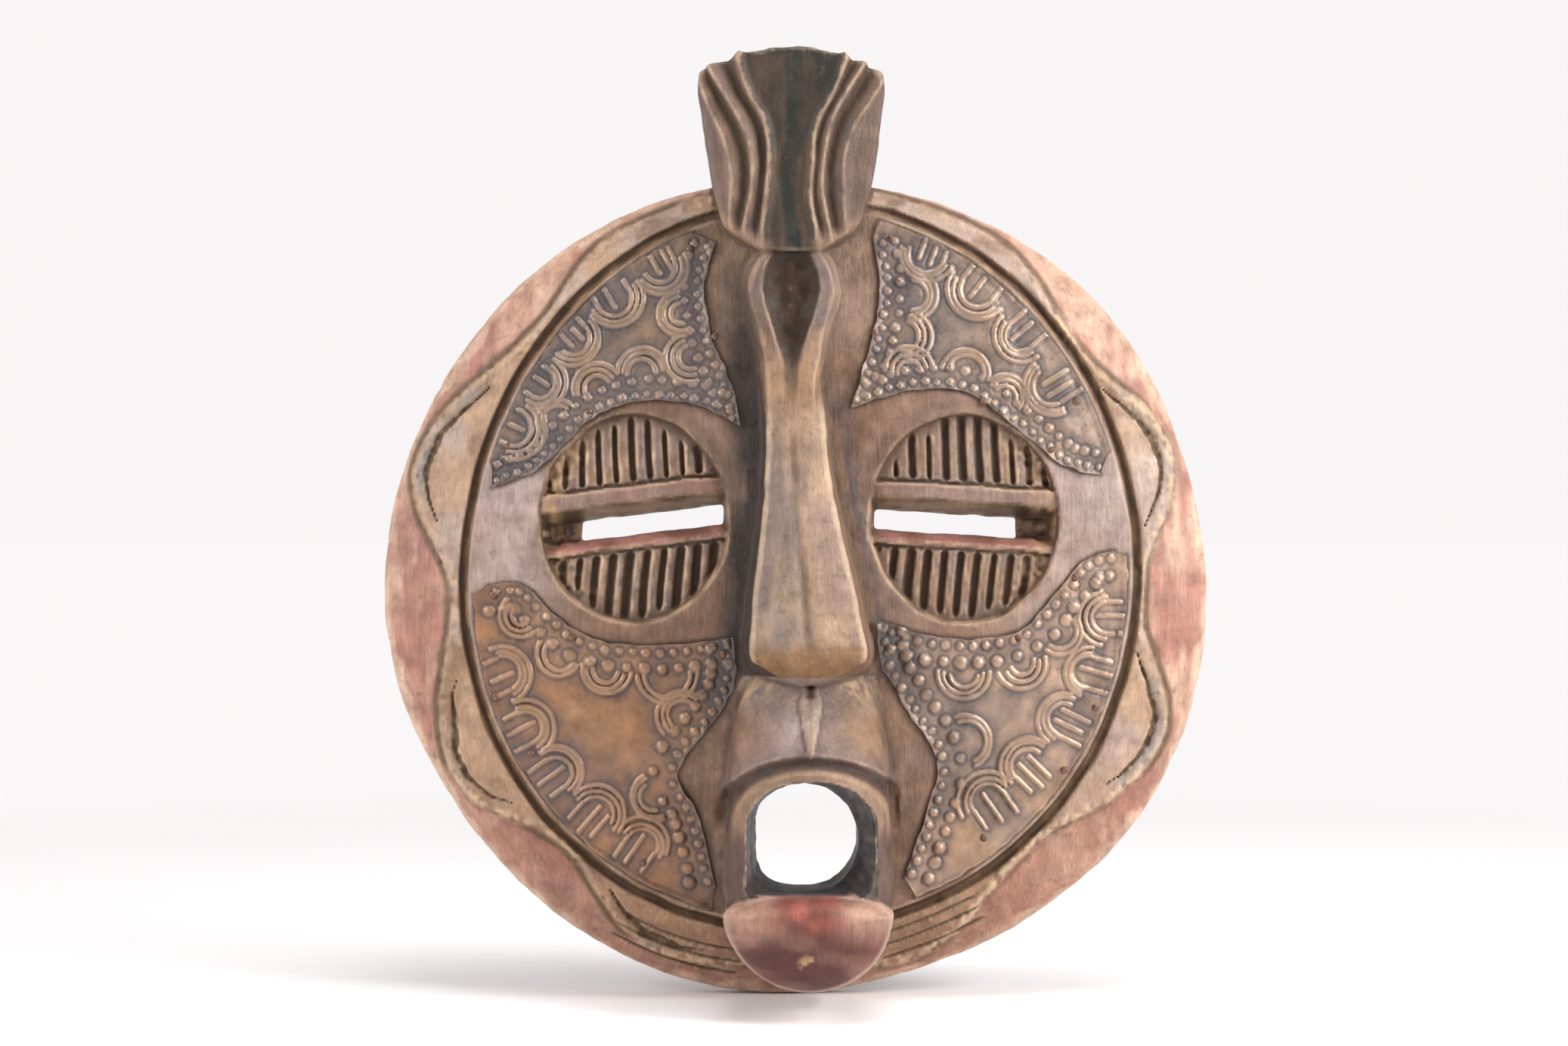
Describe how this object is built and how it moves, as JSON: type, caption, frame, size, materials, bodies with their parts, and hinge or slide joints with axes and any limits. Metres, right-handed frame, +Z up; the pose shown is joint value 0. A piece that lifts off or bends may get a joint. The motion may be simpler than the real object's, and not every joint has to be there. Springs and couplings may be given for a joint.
{
  "type": "carved wooden wall mask",
  "caption": "Round carved wall mask of painted wood with a tall crest, a long nose and a round open mouth, faced with embossed metal panels and hung from a ring on its back.",
  "frame": {"origin": "on the flat back of the rim at its top, behind the foot of the crest, where the mask touches the wall", "axes": "+X to the right of a person facing the mask, +Y into the wall, +Z up along the crest; the face looks along -Y"},
  "size_m": [0.3992, 0.117, 0.4497],
  "materials": {
    "carved_wood": "stained brown with worn pink-red paint on the rim lobes, the lid bars and the lower lip and a green-black stripe on the crest, satin",
    "embossed_sheet": "embossed by hand, bronze brown with a blotchy blue-grey patina",
    "tack": "small domed heads, browned with rust",
    "hanger_wire": "zinc plated, dulled"
  },
  "bodies": {
    "mask": {"carved_body": "carved_wood", "hanger_staple": "hanger_wire", "panel_lower_left": "embossed_sheet", "panel_lower_right": "embossed_sheet", "panel_upper_left": "embossed_sheet", "panel_upper_right": "embossed_sheet", "tack_lower_left_1": "tack", "tack_lower_left_2": "tack", "tack_lower_left_3": "tack", "tack_lower_left_4": "tack", "tack_lower_left_5": "tack", "tack_lower_left_6": "tack", "tack_lower_right_1": "tack", "tack_lower_right_2": "tack", "tack_lower_right_3": "tack", "tack_lower_right_4": "tack", "tack_lower_right_5": "tack", "tack_lower_right_6": "tack", "tack_upper_left_1": "tack", "tack_upper_left_2": "tack", "tack_upper_left_3": "tack", "tack_upper_left_4": "tack", "tack_upper_left_5": "tack", "tack_upper_right_1": "tack", "tack_upper_right_2": "tack", "tack_upper_right_3": "tack", "tack_upper_right_4": "tack", "tack_upper_right_5": "tack"},
    "ring": {"hanging_ring": "hanger_wire"}
  },
  "joints": [
    {"name": "ring_swing", "type": "hinge", "parent": "mask", "child": "ring", "pos_m": [-0.0036, -0.0108, 0.04], "axis": [1, 0, 0], "range_deg": [0, 175]}
  ]
}
